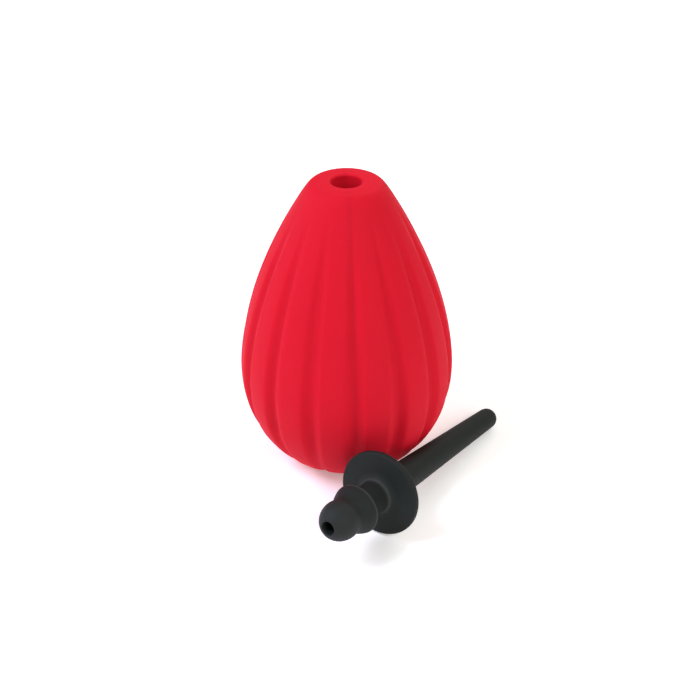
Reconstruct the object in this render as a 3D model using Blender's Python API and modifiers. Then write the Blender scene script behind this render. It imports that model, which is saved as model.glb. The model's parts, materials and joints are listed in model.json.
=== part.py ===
"""Squeeze bulb with a loose plug-in nozzle, two soft silicone mouldings.

The red bulb is a hollow fluted egg that stands on its flat base, with one round hole in its crown.
The black nozzle lies on the table beside it: a barbed plug that pops into the hole, a round
flange and a tapered tube.  The bulb's two finger walls and the nozzle's tube are solids of their
own, because they are what gives when the bulb is squeezed or the tube is bent.

Metres, +Z up.  The bulb stands on z = 0 with its axis on the world's Z.
"""

import math

import bmesh
import bpy
from mathutils import Matrix, Vector
from mathutils.geometry import interpolate_bezier

MM = 0.001

# ---- bulb, all lengths in millimetres ------------------------------------------------------------
BULB_HEIGHT = 99.1
BASE_RADIUS = 14.1          # flat that the bulb stands on
BELLY_RADIUS = 35.0
BELLY_HEIGHT = 33.6
SHOULDER_RADIUS = 16.85     # where the side turns into the crown
SHOULDER_HEIGHT = 90.0
CROWN_RADIUS = 7.5          # outer edge of the flat on the crown
HOLE_RADIUS = 4.8
HOLE_ROUNDING = 0.8
COLLAR_DEPTH = 11.0         # solid silicone round the hole, as long as the plug's neck
WALL = 2.2                  # where a flute is deepest; a flute's depth more on a lobe
FLOOR = 3.6
CAVITY_STEPS = 48

FLUTES = 15
FLUTE_DEPTH = 2.0           # low on the belly ...
FLUTE_DEPTH_HIGH = 1.35     # ... easing to this where the fade to the crown begins
FLUTE_SHARE = 0.5           # of the pitch is valley, the rest is the broad lobe between two
FLUTE_PHASE = -85.6         # degrees, polar angle of one flute's valley
FLUTE_TOP_START = 66.0      # the fade to the crown begins at this height ...
FLUTE_TOP_END = 96.0        # ... and the flutes are gone at this one
FLUTE_FOOT = 0.15           # share of the depth that is left at the very bottom ...
FLUTE_FOOT_HEIGHT = 24.0    # ... and the height at which it is whole
STEPS_PER_FLUTE = 6

SQUEEZE_HEIGHT = 42.0       # middle of the finger walls
SQUEEZE_HALF_HEIGHT = 25.0
SQUEEZE_HALF_WIDTH = 19.0
SQUEEZE_CUT_LENGTH = 45.0   # from the bulb's axis to outside its belly
SQUEEZE_CUT_SIDES = 36
GAP = 0.3                   # between solids that meet
CUT_OVERRUN = 2.0           # how far a cutter runs past the face that it cuts

# ---- nozzle, millimetres along its own axis: 0 at the flange's front face, + towards the tip ------
NOSE_END = -26.4
NOSE_RADIUS = 6.26
NOSE_WIDEST = -19.5
GROOVE_RADIUS = 5.9
GROOVE_AT = -17.0
BARB_RADIUS = 7.92
BARB_AT = -11.6
BARB_LIP = 0.5
NECK_RADIUS = 5.2
NECK_FILLET = 3.0
FLANGE_RADIUS = 13.85
FLANGE_THICKNESS = 3.0
FLANGE_DOME = 0.4           # how far the front face falls back towards its edge
FLANGE_FRONT_ROUND = 0.8
FLANGE_BACK_ROUND = 1.2
TUBE_ROOT_RADIUS = 5.17
TUBE_TIP_RADIUS = 3.6
TUBE_END = 71.8
BEND_AT = FLANGE_THICKNESS + GAP + TUBE_ROOT_RADIUS     # the tube bends about this point
BORE_RADIUS = 2.1
BORE_MOUTH_FLARE = 0.35     # how much wider the bore opens at the nose ...
BORE_MOUTH_DEPTH = 1.2      # ... and how far in it is back to its own size
OUTLET_RADIUS = 1.2
OUTLET_TAPER = 6.0          # length over which the bore narrows to the outlet ...
OUTLET_TAPER_RADIUS = 1.8   # ... from this radius
PLUG_STEPS = 40
TUBE_STEPS = 28

NOZZLE_X, NOZZLE_Y = 9.4, -45.75    # flange centre, seen from above
NOZZLE_HEADING = 36.1               # degrees from +Y towards +X, the way the tube points

RED = (0.66, 0.014, 0.030, 1.0)
RED_ROUGHNESS = 0.65
BLACK = (0.020, 0.023, 0.023, 1.0)
BLACK_ROUGHNESS = 0.6

MERGE_DISTANCE = 1e-5       # metres, where a turned shape meets itself
WELD_DISTANCE = 1e-6        # metres, for the slivers that a Boolean leaves


# ---- scene ----------------------------------------------------------------------------------------
def clear_scene():
    for obj in list(bpy.data.objects):
        bpy.data.objects.remove(obj, do_unlink=True)
    for collection in list(bpy.data.collections):
        bpy.data.collections.remove(collection)


def new_collection(name):
    collection = bpy.data.collections.new(name)
    bpy.context.scene.collection.children.link(collection)
    return collection


def new_material(name, colour, roughness):
    material = bpy.data.materials.new(name)
    material.use_nodes = True
    shader = material.node_tree.nodes["Principled BSDF"]
    shader.inputs["Base Color"].default_value = colour
    shader.inputs["Roughness"].default_value = roughness
    shader.inputs["Metallic"].default_value = 0.0
    return material


def apply_modifiers(obj):
    bpy.context.view_layer.update()
    evaluated = obj.evaluated_get(bpy.context.evaluated_depsgraph_get())
    mesh = bpy.data.meshes.new_from_object(evaluated)
    obj.modifiers.clear()
    old = obj.data
    obj.data = mesh
    bpy.data.meshes.remove(old)


def mark_as_cutter(obj):
    obj.hide_render = True
    obj.display_type = "WIRE"


# ---- profiles -------------------------------------------------------------------------------------
def bezier(start, start_handle, end_handle, end, count):
    """Points (radius, height) along one Bezier segment, both ends included."""
    corners = [Vector((p[0], p[1], 0.0)) for p in (start, start_handle, end_handle, end)]
    return [(p.x, p.y) for p in interpolate_bezier(*corners, count)]


def spaced(first, last, count):
    """Evenly spaced values, both ends included."""
    return [first + (last - first) * i / (count - 1) for i in range(count)]


def arc(centre, radius, first, last, count):
    """Points (radius, height) round a centre, from angle first to last in degrees."""
    angles = [math.radians(angle) for angle in spaced(first, last, count)]
    return [(centre[0] + radius * math.cos(a), centre[1] + radius * math.sin(a)) for a in angles]


def joined(*runs):
    """The runs end to end, without the points that they share."""
    points = []
    for run in runs:
        for point in run:
            if not points or math.dist(points[-1], point) > 1e-4:
                points.append(point)
    return points


def turned(name, profile, steps, closed, collection, phase=0.0):
    """A solid of revolution about its own Z, from a profile that runs down its outer side."""
    mesh = bpy.data.meshes.new(name)
    bm = bmesh.new()
    turn = Matrix.Rotation(math.radians(phase), 3, "Z")
    ring = [bm.verts.new(turn @ Vector((r, 0.0, z)) * MM) for r, z in profile]
    pairs = list(zip(ring, ring[1:]))
    if closed:
        pairs.append((ring[-1], ring[0]))
    for a, b in pairs:
        bm.edges.new((a, b))
    bm.to_mesh(mesh)
    bm.free()
    obj = bpy.data.objects.new(name, mesh)
    collection.objects.link(obj)
    screw = obj.modifiers.new("Turn", "SCREW")
    screw.axis = "Z"
    screw.angle = math.tau
    screw.steps = screw.render_steps = steps
    screw.use_merge_vertices = True
    screw.merge_threshold = MERGE_DISTANCE
    screw.use_normal_calculate = True
    apply_modifiers(obj)
    return obj


def combine(obj, cutter, operation):
    """Booleans cutter into obj for good."""
    modifier = obj.modifiers.new(operation.title(), "BOOLEAN")
    modifier.solver = "EXACT"
    modifier.operation = operation
    modifier.object = cutter
    apply_modifiers(obj)


# ---- bulb -----------------------------------------------------------------------------------------
def bulb_side():
    """The bulb's outer side at a flute's crest, from the crown's flat down to the base."""
    crown = bezier((CROWN_RADIUS, BULB_HEIGHT), (CROWN_RADIUS + 3.9, BULB_HEIGHT - 0.7),
                   (SHOULDER_RADIUS - 6.0, SHOULDER_HEIGHT + 10.3),
                   (SHOULDER_RADIUS, SHOULDER_HEIGHT), 7)
    upper = bezier((SHOULDER_RADIUS, SHOULDER_HEIGHT),
                   (SHOULDER_RADIUS + 15.7, SHOULDER_HEIGHT - 27.1),
                   (BELLY_RADIUS, BELLY_HEIGHT + 8.0), (BELLY_RADIUS, BELLY_HEIGHT), 11)
    lower = bezier((BELLY_RADIUS, BELLY_HEIGHT), (BELLY_RADIUS, BELLY_HEIGHT - 22.8),
                   (BASE_RADIUS + 6.0, 0.0), (BASE_RADIUS, 0.0), 11)
    return joined(crown, upper, lower)


def flute_depth(height):
    """How deep the valleys are at a height: deepest low on the belly, shallower further up, gone
    on the shoulder, and easing off towards the foot."""
    rise = (height - FLUTE_FOOT_HEIGHT) / (FLUTE_TOP_START - FLUTE_FOOT_HEIGHT)
    depth = FLUTE_DEPTH + (FLUTE_DEPTH_HIGH - FLUTE_DEPTH) * min(1.0, max(0.0, rise))
    top = min(1.0, max(0.0, (FLUTE_TOP_END - height) / (FLUTE_TOP_END - FLUTE_TOP_START)))
    foot = FLUTE_FOOT + (1.0 - FLUTE_FOOT) * min(1.0, height / FLUTE_FOOT_HEIGHT)
    return depth * top * top * (3.0 - 2.0 * top) * foot


def flute_shape(angle):
    """1 at the bottom of a valley and 0 on a lobe: rounded valleys between broad lobes."""
    pitch = math.tau / FLUTES
    away = (angle - math.radians(FLUTE_PHASE) + pitch / 2.0) % pitch - pitch / 2.0
    share = min(1.0, abs(away) / (pitch * FLUTE_SHARE / 2.0))
    return 0.5 + 0.5 * math.cos(math.pi * share)


def bulb_outside(collection):
    """The bulb as a solid fluted egg."""
    profile = joined([(0.0, BULB_HEIGHT)], bulb_side(), [(0.0, 0.0)])
    obj = turned("bulb_body", profile, FLUTES * STEPS_PER_FLUTE, False, collection, FLUTE_PHASE)
    for vertex in obj.data.vertices:
        radius = math.hypot(vertex.co.x, vertex.co.y)
        height = vertex.co.z / MM
        if radius > CROWN_RADIUS * MM:
            cut = flute_depth(height) * flute_shape(math.atan2(vertex.co.y, vertex.co.x)) * MM
            vertex.co.x *= 1.0 - cut / radius
            vertex.co.y *= 1.0 - cut / radius
    return obj


def cavity_cutter(collection):
    """The air space and the hole in the crown, as one turned cutter."""
    inset = WALL + FLUTE_DEPTH
    roof = BULB_HEIGHT - COLLAR_DEPTH
    belly = (BELLY_RADIUS - inset, BELLY_HEIGHT)
    mouth = arc((HOLE_RADIUS + HOLE_ROUNDING, BULB_HEIGHT - HOLE_ROUNDING), HOLE_ROUNDING,
                90.0, 180.0, 5)
    top = BULB_HEIGHT + CUT_OVERRUN
    over = (HOLE_RADIUS + HOLE_ROUNDING, top)
    bore = joined([(0.0, top), over], mouth, [(HOLE_RADIUS, roof), (HOLE_RADIUS + 4.5, roof)])
    upper = bezier((HOLE_RADIUS + 4.5, roof), (HOLE_RADIUS + 9.0, roof - 1.0),
                   (belly[0], belly[1] + 23.5), belly, 12)
    lower = bezier(belly, (belly[0], belly[1] - 20.0), (BASE_RADIUS + 4.0, FLOOR),
                   (BASE_RADIUS - 1.0, FLOOR), 9)
    profile = joined(bore, upper, lower, [(0.0, FLOOR)])
    cutter = turned("cut_cavity", profile, CAVITY_STEPS, False, collection)
    mark_as_cutter(cutter)
    return cutter


def squeeze_cutter(name, side, grow, collection):
    """An oval bar along X that marks out one finger wall."""
    bpy.ops.mesh.primitive_cylinder_add(vertices=SQUEEZE_CUT_SIDES, radius=1.0, depth=1.0)
    cutter = bpy.context.object
    cutter.name = name
    for owner in list(cutter.users_collection):
        owner.objects.unlink(cutter)
    collection.objects.link(cutter)
    half_height = (SQUEEZE_HALF_HEIGHT + grow) * MM
    half_width = (SQUEEZE_HALF_WIDTH + grow) * MM
    length = SQUEEZE_CUT_LENGTH * MM
    size = Matrix.Diagonal((half_height, half_width, length, 1.0))
    turn = Matrix.Rotation(math.radians(90.0), 4, "Y")
    place = Matrix.Translation((side * length * 0.5, 0.0, SQUEEZE_HEIGHT * MM))
    cutter.data.transform(place @ turn @ size)
    mark_as_cutter(cutter)
    return cutter


def squeeze_wall(name, side, shell, material, collection, cutters):
    """One finger wall, cut out of the shell; its origin is where the finger presses."""
    wall = shell.copy()
    wall.data = shell.data.copy()
    wall.name = name
    collection.objects.link(wall)
    combine(wall, squeeze_cutter("cut_" + name, side, 0.0, cutters), "INTERSECT")
    origin = Vector((side * BELLY_RADIUS, 0.0, SQUEEZE_HEIGHT)) * MM
    wall.data.transform(Matrix.Translation(-origin))
    wall.location = origin
    finish(wall, material)
    return wall


def build_bulb(collection, cutters):
    """The shell with its two finger walls cut free."""
    shell = bulb_outside(collection)
    combine(shell, cavity_cutter(cutters), "DIFFERENCE")
    body_red, left_red, right_red = [new_material("red_silicone_" + part, RED, RED_ROUGHNESS)
                                     for part in ("body", "left", "right")]
    walls = [squeeze_wall("squeeze_wall_left", -1.0, shell, left_red, collection, cutters),
             squeeze_wall("squeeze_wall_right", 1.0, shell, right_red, collection, cutters)]
    for side, name in ((-1.0, "cut_space_left"), (1.0, "cut_space_right")):
        combine(shell, squeeze_cutter(name, side, GAP, cutters), "DIFFERENCE")
    finish(shell, body_red)
    for wall in walls:
        wall.parent = shell


# ---- nozzle ---------------------------------------------------------------------------------------
def flange_edges():
    """(radius, place, rounding) of the centre of the flange's front and back edge roundings."""
    front, back = FLANGE_FRONT_ROUND, FLANGE_BACK_ROUND
    return [(FLANGE_RADIUS - front, FLANGE_DOME + front, front),
            (FLANGE_RADIUS - back, FLANGE_THICKNESS - back, back)]


def plug_profile():
    """The plug and flange, from the bore's rear edge round the outside and back."""
    nose_length = NOSE_WIDEST - NOSE_END
    mouth = math.asin((BORE_RADIUS + BORE_MOUTH_FLARE) / NOSE_RADIUS)
    nose = [(NOSE_RADIUS * math.sin(a), NOSE_WIDEST - nose_length * math.cos(a))
            for a in spaced(mouth, math.pi / 2.0, 7)]
    groove = bezier((NOSE_RADIUS, NOSE_WIDEST), (NOSE_RADIUS, NOSE_WIDEST + 1.2),
                    (GROOVE_RADIUS, GROOVE_AT - 1.0), (GROOVE_RADIUS, GROOVE_AT), 5)
    swell = bezier((GROOVE_RADIUS, GROOVE_AT), (GROOVE_RADIUS + 0.2, GROOVE_AT + 1.8),
                   (BARB_RADIUS - 0.7, BARB_AT - 2.6), (BARB_RADIUS, BARB_AT), 6)
    lip_edge = arc((BARB_RADIUS - BARB_LIP / 2.0, BARB_AT + BARB_LIP / 2.0), BARB_LIP / 2.0,
                   0.0, 90.0, 3)
    neck = bezier((BARB_RADIUS - BARB_LIP / 2.0, BARB_AT + BARB_LIP),
                  (NECK_RADIUS + 0.6, BARB_AT + BARB_LIP),
                  (NECK_RADIUS, BARB_AT + 1.4), (NECK_RADIUS, BARB_AT + 2.4), 4)
    fillet = arc((NECK_RADIUS + NECK_FILLET, -NECK_FILLET), NECK_FILLET, 180.0, 90.0, 6)
    front, back = flange_edges()
    rim = joined(arc(front[:2], front[2], -90.0, 0.0, 5), arc(back[:2], back[2], 0.0, 90.0, 5))
    outside = joined(nose, groove, swell, lip_edge, neck, fillet, rim)
    return joined([(BORE_RADIUS, NOSE_END + BORE_MOUTH_DEPTH)], outside,
                  [(BORE_RADIUS, FLANGE_THICKNESS)])


def tube_profile():
    """The tube with a ball-shaped root about its bending point and a round tip."""
    straight = TUBE_END - TUBE_TIP_RADIUS
    bore_angle = math.degrees(math.asin(BORE_RADIUS / TUBE_ROOT_RADIUS))
    outlet_angle = math.degrees(math.asin(OUTLET_RADIUS / TUBE_TIP_RADIUS))
    root = arc((0.0, BEND_AT), TUBE_ROOT_RADIUS, bore_angle - 90.0, 0.0, 7)
    taper = list(zip(spaced(TUBE_ROOT_RADIUS, TUBE_TIP_RADIUS, 7), spaced(BEND_AT, straight, 7)))
    tip = arc((0.0, straight), TUBE_TIP_RADIUS, 0.0, 90.0 - outlet_angle, 7)
    bore = [(OUTLET_RADIUS, straight), (OUTLET_TAPER_RADIUS, straight - OUTLET_TAPER)]
    return joined(root, taper, tip, bore)


def flange_reach(droop):
    """How far the flange reaches below the nozzle's frame when its axis falls by droop."""
    return max(radius * math.cos(droop) + place * math.sin(droop) + rounding
               for radius, place, rounding in flange_edges())


def nozzle_droop():
    """How steeply the axis falls when both the flange and the tube's round tip touch the table."""
    straight = TUBE_END - TUBE_TIP_RADIUS
    low, high = 0.0, math.radians(30.0)
    for _ in range(50):
        droop = (low + high) / 2.0
        if flange_reach(droop) - straight * math.sin(droop) > TUBE_TIP_RADIUS:
            low = droop
        else:
            high = droop
    return low


def nozzle_lie():
    """The nozzle's frame as it lies on the table, its Z along the nozzle towards the tip."""
    droop = nozzle_droop()
    heading = math.radians(NOZZLE_HEADING)
    axis = Vector((math.cos(droop) * math.sin(heading), math.cos(droop) * math.cos(heading),
                   -math.sin(droop)))
    centre = Vector((NOZZLE_X, NOZZLE_Y, flange_reach(droop)))
    across = Vector((0.0, 0.0, 1.0)).cross(axis).normalized()
    up = axis.cross(across)
    turn = Matrix((across, up, axis)).transposed().to_4x4()
    return Matrix.Translation(centre * MM) @ turn


def build_nozzle(collection):
    """The plug with its flange, and the tube on its bending point."""
    lie = nozzle_lie()
    frame = bpy.data.objects.new("nozzle_frame", None)
    frame.matrix_world = lie
    collection.objects.link(frame)
    plug = turned("nozzle_plug", plug_profile(), PLUG_STEPS, True, collection)
    tube = turned("nozzle_tube", tube_profile(), TUBE_STEPS, True, collection)
    bend = bpy.data.objects.new("nozzle_bend_point", None)
    collection.objects.link(bend)
    bend.parent = frame
    bend.location = (0.0, 0.0, BEND_AT * MM)
    plug.parent = frame
    tube.data.transform(Matrix.Translation((0.0, 0.0, -BEND_AT * MM)))
    tube.parent = bend
    finish(plug, new_material("black_silicone_plug", BLACK, BLACK_ROUGHNESS))
    finish(tube, new_material("black_silicone_tube", BLACK, BLACK_ROUGHNESS))


def finish(obj, material):
    """Faces outward, one material, and smooth shading that keeps the edges."""
    bm = bmesh.new()
    bm.from_mesh(obj.data)
    bmesh.ops.remove_doubles(bm, verts=bm.verts, dist=WELD_DISTANCE)
    bmesh.ops.dissolve_degenerate(bm, edges=bm.edges, dist=WELD_DISTANCE)
    bmesh.ops.recalc_face_normals(bm, faces=bm.faces)
    bm.to_mesh(obj.data)
    bm.free()
    obj.data.materials.clear()
    obj.data.materials.append(material)
    obj.data.shade_smooth()


def main():
    clear_scene()
    parts = new_collection("squeeze_bulb_with_nozzle")
    cutters = new_collection("cutters")
    build_bulb(parts, cutters)
    build_nozzle(parts)


main()
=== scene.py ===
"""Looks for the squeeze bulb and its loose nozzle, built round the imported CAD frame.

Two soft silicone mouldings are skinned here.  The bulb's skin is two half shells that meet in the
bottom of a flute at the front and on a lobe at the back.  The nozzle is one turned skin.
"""
import json
import math

import bpy
import numpy as np
from mathutils import Matrix, Vector
from mathutils.geometry import interpolate_bezier


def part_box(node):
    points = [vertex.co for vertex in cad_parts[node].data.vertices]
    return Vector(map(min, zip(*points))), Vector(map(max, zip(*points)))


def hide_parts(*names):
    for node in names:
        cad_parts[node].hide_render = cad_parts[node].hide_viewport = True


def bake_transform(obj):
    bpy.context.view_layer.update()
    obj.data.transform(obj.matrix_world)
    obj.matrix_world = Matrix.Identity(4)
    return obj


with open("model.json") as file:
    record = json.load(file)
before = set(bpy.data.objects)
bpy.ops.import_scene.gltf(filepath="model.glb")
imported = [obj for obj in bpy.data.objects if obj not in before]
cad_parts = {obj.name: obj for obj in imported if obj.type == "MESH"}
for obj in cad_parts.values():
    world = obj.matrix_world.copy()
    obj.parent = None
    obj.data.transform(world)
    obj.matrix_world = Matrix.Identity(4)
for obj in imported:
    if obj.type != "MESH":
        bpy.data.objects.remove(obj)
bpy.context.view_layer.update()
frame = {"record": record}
MM = 0.001
JOINTS = {joint["name"]: joint for joint in frame["record"]["behaviour"]["joints"]}

# ---- bulb, millimetres, as the CAD has it ---------------------------------------------------------
BULB_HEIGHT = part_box("bulb_body")[1][2] / MM
BASE_RADIUS = 14.1
BELLY_RADIUS = 35.0
BELLY_HEIGHT = 33.6
SHOULDER_RADIUS = 16.85
SHOULDER_HEIGHT = 90.0
CROWN_RADIUS = 7.5
HOLE_RADIUS = 4.8
HOLE_ROUNDING = 0.8
COLLAR_DEPTH = 11.0
WALL = 2.2                  # where a flute is deepest
FLOOR = 3.6
FLUTES = 15
FLUTE_DEPTH = 2.0           # low on the belly ...
FLUTE_DEPTH_HIGH = 1.35     # ... easing to this where the fade to the crown begins
FLUTE_SHARE = 0.5           # of the pitch is valley, the rest is the broad lobe between two
FLUTE_PHASE = math.radians(-85.6)       # polar angle of one flute's valley
FLUTE_TOP_START = 66.0      # the fade to the crown begins at this height ...
FLUTE_TOP_END = 96.0        # ... and the flutes are gone at this one
FLUTE_FOOT = 0.15           # share of the depth that is left at the very bottom ...
FLUTE_FOOT_HEIGHT = 24.0    # ... and the height at which it is whole
COLUMNS_PER_FLUTE = 24

# ---- nozzle, millimetres along its own axis, 0 at the flange's front face -------------------------
NOSE_END = -26.4
NOSE_RADIUS = 6.26
NOSE_WIDEST = -19.5
GROOVE_RADIUS = 5.9
GROOVE_AT = -17.0
BARB_RADIUS = 7.92
BARB_AT = -11.6
BARB_LIP = 0.5
NECK_RADIUS = 5.2
NECK_FILLET = 3.0
FLANGE_RADIUS = 13.85
FLANGE_THICKNESS = 3.0
FLANGE_DOME = 0.4
FLANGE_FRONT_ROUND = 0.8
FLANGE_BACK_ROUND = 1.2
TUBE_ROOT_RADIUS = 5.17
TUBE_TIP_RADIUS = 3.6
TUBE_END = 71.8
BEND_AT = 8.47              # the CAD's tube bends about this point ...
BORE_RADIUS = 2.1
BORE_MOUTH_FLARE = 0.35     # how much wider the bore opens at the nose
OUTLET_RADIUS = 1.2
OUTLET_MOUTH_FLARE = 0.25
OUTLET_TAPER_RADIUS = 1.8   # the bore narrows from this radius to the outlet's ...
OUTLET_TAPER_START = 6.0    # ... from this far behind the tip's centre ...
OUTLET_TAPER_END = 1.0      # ... to this far
NOZZLE_COLUMNS = 96
LIP_HIGHLIGHT_WIDTH = 0.35      # of the painted highlight along the barb's lip
FILLET_HIGHLIGHT_WIDTH = 0.5     # ... and of the fainter painted highlight in the neck's fillet
FILLET_HIGHLIGHT = 0.6           # how strong the painted highlight in the fillet is beside the lip's ...
NOSE_HIGHLIGHT = 0.18            # ... and how strong the painted highlight on the nose is

# ---- silicone ---------------------------------------------------------------------------------------
RED = dict(colour=(0.565, 0.0055, 0.0185), spread=0.02, roughness=0.7, specular=0.09)
BLACK = dict(colour=(0.0120, 0.0150, 0.0130), spread=0.06, roughness=0.62, specular=0.14)
# paler black painted onto the nozzle as highlights: on the barb's lip, in the neck's fillet and on the
# nose
HIGHLIGHT_BLACK = (0.050, 0.055, 0.052)
CLOUD_SCALE = 45.0
GRAIN_SCALE = 2200.0
GRAIN_DEPTH = 0.00004       # metres
GLOSS_SPREAD = 0.05         # roughness varies by this much either way
RED_TRANSLUCENCE = 0.35
RED_LIGHT_DEPTH = 0.003     # metres

# ---- stage, metres, degrees and watts ---------------------------------------------------------------
MIDDLE = Vector((0.0, 0.0, 0.05))       # of the bulb, which lights and camera face
LIGHT_DISTANCE = 0.9
WORLD_STRENGTH = 0.27
COOL, NEUTRAL, WARM = (1.0, 0.98, 1.25), (1.0, 0.99, 0.95), (1.0, 0.99, 0.92)
LIGHTS = (                  # name, azimuth from +X towards +Y, elevation, size, power, colour
    ("key_left", -165.0, 50.0, 0.4, 6.3, COOL),
    ("fill_front", -55.0, 35.0, 0.4, 4.0, NEUTRAL),
    ("fill_back", 55.0, 40.0, 0.9, 4.1, WARM),
    ("edge_left", 160.0, 14.0, 0.4, 1.25, COOL))
FLOOR_SIZE = 6.0
FLOOR_DROP = 0.0002         # below the bulb's base
FLOOR_WHITE = 0.97
FLOOR_GLOW = 0.25
CAMERA_ELEVATION = 31.1
CAMERA_DISTANCE = 0.4
CAMERA_SENSOR = 36.0        # millimetres, as the lens
CAMERA_LENS = 63.09
AIM_RIGHT = 0.001076        # of the bulb's middle ...
AIM_DOWN = 0.01014          # ... and below it, across the view


# ---- runs of (radius, height) points ---------------------------------------------------------------
def bezier(start, start_handle, end_handle, end, count):
    corners = [Vector((p[0], p[1], 0.0)) for p in (start, start_handle, end_handle, end)]
    return [(p.x, p.y) for p in interpolate_bezier(*corners, count)]


def arc(centre, radius, first, last, count):
    angles = np.radians(np.linspace(first, last, count))
    return [(centre[0] + radius * math.cos(a), centre[1] + radius * math.sin(a)) for a in angles]


def line(start, end, count):
    return list(zip(np.linspace(start[0], end[0], count), np.linspace(start[1], end[1], count)))


def joined(*runs):
    """The runs end to end, without the points that they share."""
    points = []
    for run in runs:
        for point in run:
            if not points or math.dist(points[-1], point) > 1e-4:
                points.append((float(point[0]), float(point[1])))
    return points


# ---- bulb skin -------------------------------------------------------------------------------------
def bulb_outside():
    """From the hole's rim over the crown and down the side to the middle of the base."""
    crown, shoulder = (CROWN_RADIUS, BULB_HEIGHT), (SHOULDER_RADIUS, SHOULDER_HEIGHT)
    belly, base = (BELLY_RADIUS, BELLY_HEIGHT), (BASE_RADIUS, 0.0)
    return joined(
        line((HOLE_RADIUS + HOLE_ROUNDING, BULB_HEIGHT), crown, 4),
        bezier(crown, (CROWN_RADIUS + 3.9, BULB_HEIGHT - 0.7),
               (SHOULDER_RADIUS - 6.0, SHOULDER_HEIGHT + 10.3), shoulder, 26),
        bezier(shoulder, (SHOULDER_RADIUS + 15.7, SHOULDER_HEIGHT - 27.1),
               (BELLY_RADIUS, BELLY_HEIGHT + 8.0), belly, 48),
        bezier(belly, (BELLY_RADIUS, BELLY_HEIGHT - 22.8), (BASE_RADIUS + 6.0, 0.0), base, 40),
        line(base, (1.0, 0.0), 6))


def bulb_inside():
    """From the hole's rim down the hole and the air space to the middle of its floor."""
    roof = BULB_HEIGHT - COLLAR_DEPTH
    inset = WALL + FLUTE_DEPTH
    belly = (BELLY_RADIUS - inset, BELLY_HEIGHT)
    mouth = arc((HOLE_RADIUS + HOLE_ROUNDING, BULB_HEIGHT - HOLE_ROUNDING), HOLE_ROUNDING,
                90.0, 180.0, 9)
    return joined(
        mouth, line(mouth[-1], (HOLE_RADIUS, roof), 9),
        line((HOLE_RADIUS, roof), (HOLE_RADIUS + 4.5, roof), 4),
        bezier((HOLE_RADIUS + 4.5, roof), (HOLE_RADIUS + 9.0, roof - 1.0),
               (belly[0], belly[1] + 23.5), belly, 22),
        bezier(belly, (belly[0], belly[1] - 20.0), (BASE_RADIUS + 4.0, FLOOR),
               (BASE_RADIUS - 1.0, FLOOR), 16),
        line((BASE_RADIUS - 1.0, FLOOR), (1.0, FLOOR), 5))


def flute_depth(height):
    """How deep the valleys are at a height: deepest low on the belly, shallower further up, gone
    on the shoulder, and easing off towards the foot."""
    rise = (height - FLUTE_FOOT_HEIGHT) / (FLUTE_TOP_START - FLUTE_FOOT_HEIGHT)
    depth = FLUTE_DEPTH + (FLUTE_DEPTH_HIGH - FLUTE_DEPTH) * np.clip(rise, 0.0, 1.0)
    top = np.clip((FLUTE_TOP_END - height) / (FLUTE_TOP_END - FLUTE_TOP_START), 0.0, 1.0)
    foot = FLUTE_FOOT + (1.0 - FLUTE_FOOT) * np.minimum(1.0, height / FLUTE_FOOT_HEIGHT)
    return depth * top * top * (3.0 - 2.0 * top) * foot


def flute_shape(angle):
    """1 at the bottom of a valley and 0 on a lobe."""
    pitch = math.tau / FLUTES
    away = (angle - FLUTE_PHASE + pitch / 2.0) % pitch - pitch / 2.0
    share = np.minimum(1.0, np.abs(away) / (pitch * FLUTE_SHARE / 2.0))
    return 0.5 + 0.5 * np.cos(math.pi * share)


def revolved(profile, angles, fluted):
    """Grid of points in metres, one row per profile point and one column per angle."""
    radius, height = np.array(profile).T
    radius = np.repeat(radius[:, None], len(angles), 1)
    if fluted:
        cut = flute_depth(height)[:, None] * flute_shape(angles)[None]
        radius = radius - cut * (radius > CROWN_RADIUS)
    heights = np.repeat(height[:, None], len(angles), 1)
    return np.stack([radius * np.cos(angles), radius * np.sin(angles), heights], -1) * MM


def grid_normals(points):
    """Outward normals of a whole turn of rows that run up the inside and down the outside."""
    down = np.gradient(points, axis=0)
    along = np.roll(points, -1, 1) - np.roll(points, 1, 1)
    normals = np.cross(down, along)
    return normals / np.maximum(np.linalg.norm(normals, axis=-1, keepdims=True), 1e-12)


def cut_wall(ring, verts):
    """Triangles that fill the C-shaped cut face between the two ends of a ring of points."""
    low, high = 0, len(ring) - 1
    faces = []
    while high - low > 1:
        if math.dist(verts[ring[low + 1]], verts[ring[high]]) <= math.dist(
                verts[ring[high - 1]], verts[ring[low]]):
            faces.append((ring[low], ring[low + 1], ring[high]))
            low += 1
        else:
            faces.append((ring[low], ring[high - 1], ring[high]))
            high -= 1
    return faces


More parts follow.
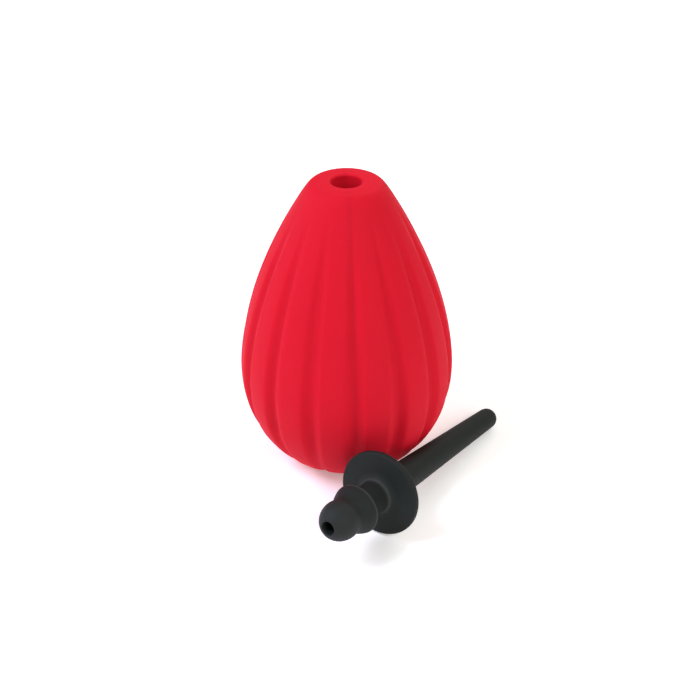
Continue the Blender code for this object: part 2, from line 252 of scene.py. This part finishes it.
def bulb_half(name, first_column):
    """One half of the bulb, from the flute at the front round to the lobe at the back."""
    count = FLUTES * COLUMNS_PER_FLUTE
    angles = FLUTE_PHASE + math.tau * np.arange(count) / count
    pick = (first_column + np.arange(count // 2 + 1)) % count
    rows = np.concatenate([revolved(bulb_inside(), angles, False)[::-1],
                           revolved(bulb_outside(), angles, True)[1:]])
    normals = grid_normals(rows)[:, pick].reshape(-1, 3)
    rows = rows[:, pick]
    high, wide = rows.shape[:2]
    verts = [tuple(p) for p in rows.reshape(-1, 3).tolist()]
    floor_centre, base_centre = len(verts), len(verts) + 1
    verts += [(0.0, 0.0, FLOOR * MM), (0.0, 0.0, 0.0)]
    faces, corner_normals = [], []
    for i in range(high - 1):
        for j in range(wide - 1):
            a = i * wide + j
            quad = (a, a + wide, a + wide + 1, a + 1)
            faces.append(quad)
            corner_normals += [normals[k] for k in quad]
    bottom = (high - 1) * wide
    for j in range(wide - 1):
        faces += [(floor_centre, j, j + 1), (base_centre, bottom + j + 1, bottom + j)]
        corner_normals += [(0.0, 0.0, 1.0)] * 3 + [(0.0, 0.0, -1.0)] * 3
    for j, turn in ((0, 1.0), (wide - 1, -1.0)):
        ring = [floor_centre] + [i * wide + j for i in range(high)] + [base_centre]
        angle = angles[pick[j]]
        side = (math.sin(angle) * turn, -math.cos(angle) * turn, 0.0)
        for face in cut_wall(ring, verts):
            faces.append(face if turn < 0.0 else face[::-1])
            corner_normals += [side] * 3
    mesh = bpy.data.meshes.new(name)
    mesh.from_pydata(verts, [], faces)
    mesh.update()
    mesh.shade_smooth()
    mesh.normals_split_custom_set([tuple(n) for n in corner_normals])
    return linked(name, mesh)


def linked(name, mesh):
    obj = bpy.data.objects.new(name, mesh)
    bpy.context.scene.collection.objects.link(obj)
    return obj


# ---- nozzle skin -----------------------------------------------------------------------------------
def plug_outside():
    """From the bore's mouth in the nose to the flange's back face."""
    nose_length = NOSE_WIDEST - NOSE_END
    mouth_angle = math.asin((BORE_RADIUS + BORE_MOUTH_FLARE) / NOSE_RADIUS)
    nose = [(NOSE_RADIUS * math.sin(a), NOSE_WIDEST - nose_length * math.cos(a))
            for a in np.linspace(mouth_angle, math.pi / 2.0, 22)]
    first = nose[0]
    mouth = bezier((BORE_RADIUS, first[1] + 0.8), (BORE_RADIUS, first[1] + 0.2),
                   (first[0] - 0.2, first[1] - 0.05), first, 6)
    groove = bezier((NOSE_RADIUS, NOSE_WIDEST), (NOSE_RADIUS, NOSE_WIDEST + 1.2),
                    (GROOVE_RADIUS, GROOVE_AT - 1.0), (GROOVE_RADIUS, GROOVE_AT), 12)
    swell = bezier((GROOVE_RADIUS, GROOVE_AT), (GROOVE_RADIUS + 0.2, GROOVE_AT + 1.8),
                   (BARB_RADIUS - 0.7, BARB_AT - 2.6), (BARB_RADIUS, BARB_AT), 20)
    half_lip = BARB_LIP / 2.0
    lip = arc((BARB_RADIUS - half_lip, BARB_AT + half_lip), half_lip, 0.0, 90.0, 7)
    neck = bezier((BARB_RADIUS - half_lip, BARB_AT + BARB_LIP),
                  (NECK_RADIUS + 0.6, BARB_AT + BARB_LIP),
                  (NECK_RADIUS, BARB_AT + 1.4), (NECK_RADIUS, BARB_AT + 2.4), 12)
    fillet = arc((NECK_RADIUS + NECK_FILLET, -NECK_FILLET), NECK_FILLET, 180.0, 90.0, 14)
    front = (FLANGE_RADIUS - FLANGE_FRONT_ROUND, FLANGE_DOME + FLANGE_FRONT_ROUND)
    back = (FLANGE_RADIUS - FLANGE_BACK_ROUND, FLANGE_THICKNESS - FLANGE_BACK_ROUND)
    face = line((NECK_RADIUS + NECK_FILLET, 0.0), (front[0], FLANGE_DOME), 8)
    rim = joined(arc(front, FLANGE_FRONT_ROUND, -90.0, 0.0, 9),
                 arc(back, FLANGE_BACK_ROUND, 0.0, 90.0, 11))
    return joined(mouth, nose, groove, swell, lip, neck, fillet, face, rim)


def tube_outside():
    """From the flange's back face to the outlet in the round tip."""
    straight = TUBE_END - TUBE_TIP_RADIUS
    root = bezier((TUBE_ROOT_RADIUS + 1.6, FLANGE_THICKNESS),
                  (TUBE_ROOT_RADIUS + 0.6, FLANGE_THICKNESS),
                  (TUBE_ROOT_RADIUS + 0.15, FLANGE_THICKNESS + 1.0), (TUBE_ROOT_RADIUS, BEND_AT), 12)
    taper = line((TUBE_ROOT_RADIUS, BEND_AT), (TUBE_TIP_RADIUS, straight), 56)
    last = math.asin((OUTLET_RADIUS + OUTLET_MOUTH_FLARE) / TUBE_TIP_RADIUS)
    tip = [(TUBE_TIP_RADIUS * math.sin(a), straight + TUBE_TIP_RADIUS * math.cos(a))
           for a in np.linspace(math.pi / 2.0, last, 16)]
    back = line((FLANGE_RADIUS - FLANGE_BACK_ROUND, FLANGE_THICKNESS), root[0], 6)
    return joined(back, root, taper, tip)


def nozzle_profile():
    """Closed run (radius, place): up the outside from the nose to the tip, and back down the bore."""
    outside = joined(plug_outside(), tube_outside())
    nose, tip = outside[0], outside[-1]
    tip_centre = TUBE_END - TUBE_TIP_RADIUS
    taper_from = (OUTLET_TAPER_RADIUS, tip_centre - OUTLET_TAPER_START)
    taper_to = (OUTLET_RADIUS, tip_centre - OUTLET_TAPER_END)
    outlet = bezier(tip, (OUTLET_RADIUS + 0.1, tip[1] + 0.04),
                    (OUTLET_RADIUS, tip[1] - 0.2), (OUTLET_RADIUS, tip[1] - 0.8), 6)
    bore = joined(line(outlet[-1], taper_to, 4), line(taper_to, taper_from, 5),
                  line(taper_from, (BORE_RADIUS, BEND_AT), 40),
                  line((BORE_RADIUS, BEND_AT), nose, 12))
    return joined(outside, outlet, bore)[:-1]


def nozzle_frame():
    """The nozzle's own frame as it lies on its flange's rim and its tip, from the CAD's joints."""
    bend_point = Vector(JOINTS["tube_bend"]["pos_m"])
    axis = (bend_point - Vector(JOINTS["nozzle_lift"]["pos_m"])).normalized()
    across = Vector((0.0, 0.0, 1.0)).cross(axis).normalized()
    turn = Matrix((across, axis.cross(across), axis)).transposed().to_4x4()
    return Matrix.Translation(bend_point - axis * BEND_AT * MM) @ turn


def turned_skin(name, profile, columns):
    """A closed skin turned about its own Z from a closed run."""
    angles = math.tau * np.arange(columns) / columns
    rows = len(profile)
    faces = []
    for i in range(rows):
        for j in range(columns):
            here, there, right = i * columns, (i + 1) % rows * columns, (j + 1) % columns
            faces.append((here + j, here + right, there + right, there + j))
    mesh = bpy.data.meshes.new(name)
    mesh.from_pydata(revolved(profile, angles, False).reshape(-1, 3).tolist(), [], faces)
    mesh.update()
    mesh.shade_smooth()
    # per-point strength of the highlights painted on the lip, in the fillet and on the nose
    highlight_layer = mesh.attributes.new("painted_highlight", "FLOAT", "POINT")
    highlight_layer.data.foreach_set("value", np.repeat([painted_highlight(*point) for point in profile], columns))
    return linked(name, mesh)


def painted_highlight(radius, place):
    """How strongly a highlight is painted onto the black silicone at a point of the profile, from 0 to
    1.

    The painted highlight is strongest on the barb's lip, fainter in the neck's fillet and fainter
    still on the nose.
    """
    lip = (BARB_RADIUS - BARB_LIP / 3.0, BARB_AT + BARB_LIP / 2.0)
    fillet = arc((NECK_RADIUS + NECK_FILLET, -NECK_FILLET), NECK_FILLET, 180.0, 90.0, 4)[1]
    painted_on_lip = math.exp(-(math.dist((radius, place), lip) / LIP_HIGHLIGHT_WIDTH) ** 2)
    painted_in_fillet = math.exp(-(math.dist((radius, place), fillet) / FILLET_HIGHLIGHT_WIDTH) ** 2)
    forward = min(1.0, max(0.0, (GROOVE_AT - place) / (GROOVE_AT - NOSE_WIDEST)))
    painted_on_nose = forward if radius > BORE_RADIUS + 0.2 else 0.0
    return max(painted_on_lip, FILLET_HIGHLIGHT * painted_in_fillet, NOSE_HIGHLIGHT * painted_on_nose)


# ---- materials -------------------------------------------------------------------------------------
def noise(nodes, links, coords, scale, detail):
    node = nodes.new("ShaderNodeTexNoise")
    node.inputs["Scale"].default_value = scale
    node.inputs["Detail"].default_value = detail
    links.new(coords.outputs["Object"], node.inputs["Vector"])
    return node


def silicone(name, colour, spread, roughness, specular):
    """Matte moulded silicone: faint cloudiness in colour and gloss, and a fine even grain."""
    material = bpy.data.materials.new(name)
    material.use_nodes = True
    nodes, links = material.node_tree.nodes, material.node_tree.links
    shader = nodes["Principled BSDF"]
    coords = nodes.new("ShaderNodeTexCoord")
    cloud = noise(nodes, links, coords, CLOUD_SCALE, 3.0)
    tint = nodes.new("ShaderNodeValToRGB")
    gains = (1.0 - spread, 1.0 + spread)
    for element, place, gain in zip(tint.color_ramp.elements, (0.3, 0.7), gains):
        element.position = place
        element.color = (*[c * gain for c in colour], 1.0)
    links.new(cloud.outputs["Fac"], tint.inputs["Fac"])
    links.new(tint.outputs["Color"], shader.inputs["Base Color"])
    gloss = nodes.new("ShaderNodeMapRange")
    gloss.inputs["To Min"].default_value = roughness - GLOSS_SPREAD
    gloss.inputs["To Max"].default_value = roughness + GLOSS_SPREAD
    links.new(cloud.outputs["Fac"], gloss.inputs["Value"])
    links.new(gloss.outputs["Result"], shader.inputs["Roughness"])
    fine = noise(nodes, links, coords, GRAIN_SCALE, 2.0)
    bump = nodes.new("ShaderNodeBump")
    bump.inputs["Strength"].default_value = 0.25
    bump.inputs["Distance"].default_value = GRAIN_DEPTH
    links.new(fine.outputs["Fac"], bump.inputs["Height"])
    links.new(bump.outputs["Normal"], shader.inputs["Normal"])
    shader.inputs["Specular IOR Level"].default_value = specular
    return material


def add_translucence(material, weight, depth):
    """Lets light travel through the silicone, red furthest, by up to depth metres."""
    shader = material.node_tree.nodes["Principled BSDF"]
    shader.inputs["Subsurface Weight"].default_value = weight
    shader.inputs["Subsurface Radius"].default_value = (1.0, 0.25, 0.2)
    shader.inputs["Subsurface Scale"].default_value = depth


def add_painted_highlights(material, colour):
    """Mixes a painted highlight, a paler tone, in where the mesh's highlight attribute is set."""
    nodes, links = material.node_tree.nodes, material.node_tree.links
    base = nodes["Principled BSDF"].inputs["Base Color"]
    attribute = nodes.new("ShaderNodeAttribute")
    attribute.attribute_name = "painted_highlight"
    mix = nodes.new("ShaderNodeMix")
    mix.data_type = "RGBA"
    factor, first, second = mix.inputs[0], mix.inputs[6], mix.inputs[7]
    links.new(attribute.outputs["Fac"], factor)
    links.new(base.links[0].from_socket, first)
    second.default_value = (*colour, 1.0)
    links.new(mix.outputs[2], base)


# ---- assembly --------------------------------------------------------------------------------------
def build_bulb():
    """Two half skins in place of the CAD's bulb, whose body and finger walls are hidden."""
    red = silicone("red_silicone_skin", **RED)
    add_translucence(red, RED_TRANSLUCENCE, RED_LIGHT_DEPTH)
    half_turn = FLUTES * COLUMNS_PER_FLUTE // 2
    for side, wall, first_column in ((1.0, "right_wall", 0), (-1.0, "left_wall", half_turn)):
        half = bulb_half("bulb_skin_" + wall.split("_")[0], first_column)
        half.data.materials.append(red)
        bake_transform(half)
    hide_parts("bulb_body", "squeeze_wall_right")
    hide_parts("squeeze_wall_left")


def build_nozzle():
    """One skin from the nose to the tip, laid along the CAD's tube."""
    lie = nozzle_frame()
    nozzle = turned_skin("nozzle_skin", nozzle_profile(), NOZZLE_COLUMNS)
    nozzle.data.transform(lie)
    black = silicone("black_silicone_skin", **BLACK)
    # paints the paler highlight tone onto the lip, the fillet and the nose
    add_painted_highlights(black, HIGHLIGHT_BLACK)
    nozzle.data.materials.append(black)
    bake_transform(nozzle)
    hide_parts("nozzle_plug", "nozzle_tube")


# ---- stage -----------------------------------------------------------------------------------------
def area_light(name, azimuth, elevation, size, power, colour):
    """A soft square box that faces the bulb."""
    around, above = math.radians(azimuth), math.radians(elevation)
    towards = Vector((math.cos(above) * math.cos(around), math.cos(above) * math.sin(around),
                      math.sin(above)))
    light = bpy.data.lights.new(name, "AREA")
    light.size = size
    light.energy = power
    light.color = colour
    obj = bpy.data.objects.new(name, light)
    obj.location = MIDDLE + towards * LIGHT_DISTANCE
    obj.rotation_euler = (-towards).to_track_quat("-Z", "Y").to_euler()
    bpy.context.scene.collection.objects.link(obj)


def build_floor():
    bpy.ops.mesh.primitive_plane_add(size=FLOOR_SIZE, location=(0.0, 0.0, -FLOOR_DROP))
    floor = bpy.context.object
    floor.name = "floor"
    material = bpy.data.materials.new("pale_floor")
    material.use_nodes = True
    shader = material.node_tree.nodes["Principled BSDF"]
    shader.inputs["Base Color"].default_value = (FLOOR_WHITE, FLOOR_WHITE, FLOOR_WHITE, 1.0)
    shader.inputs["Roughness"].default_value = 0.9
    shader.inputs["Specular IOR Level"].default_value = 0.0
    shader.inputs["Emission Color"].default_value = (1.0, 1.0, 1.0, 1.0)
    shader.inputs["Emission Strength"].default_value = FLOOR_GLOW
    floor.data.materials.append(material)


def build_light():
    scene = bpy.context.scene
    world = bpy.data.worlds.new("studio")
    world.use_nodes = True
    background = world.node_tree.nodes["Background"]
    background.inputs["Color"].default_value = (1.0, 1.0, 1.0, 1.0)
    background.inputs["Strength"].default_value = WORLD_STRENGTH
    scene.world = world
    for light in LIGHTS:
        area_light(*light)
    scene.view_settings.view_transform = "Standard"
    scene.view_settings.look = "None"


def build_camera():
    """Looks down on the bulb from the front, and is aimed a little below its middle."""
    elevation = math.radians(CAMERA_ELEVATION)
    back = Vector((0.0, -math.cos(elevation), math.sin(elevation)))
    up = Vector((0.0, math.sin(elevation), math.cos(elevation)))
    aim = MIDDLE + Vector((AIM_RIGHT, 0.0, 0.0)) - up * AIM_DOWN
    camera = bpy.data.cameras.new("camera")
    camera.sensor_width = CAMERA_SENSOR
    camera.lens = CAMERA_LENS
    obj = bpy.data.objects.new("camera", camera)
    obj.location = MIDDLE + back * CAMERA_DISTANCE
    obj.rotation_euler = (aim - obj.location).to_track_quat("-Z", "Y").to_euler()
    bpy.context.scene.collection.objects.link(obj)
    bpy.context.scene.camera = obj


build_bulb()
build_nozzle()
build_floor()
build_light()
build_camera()
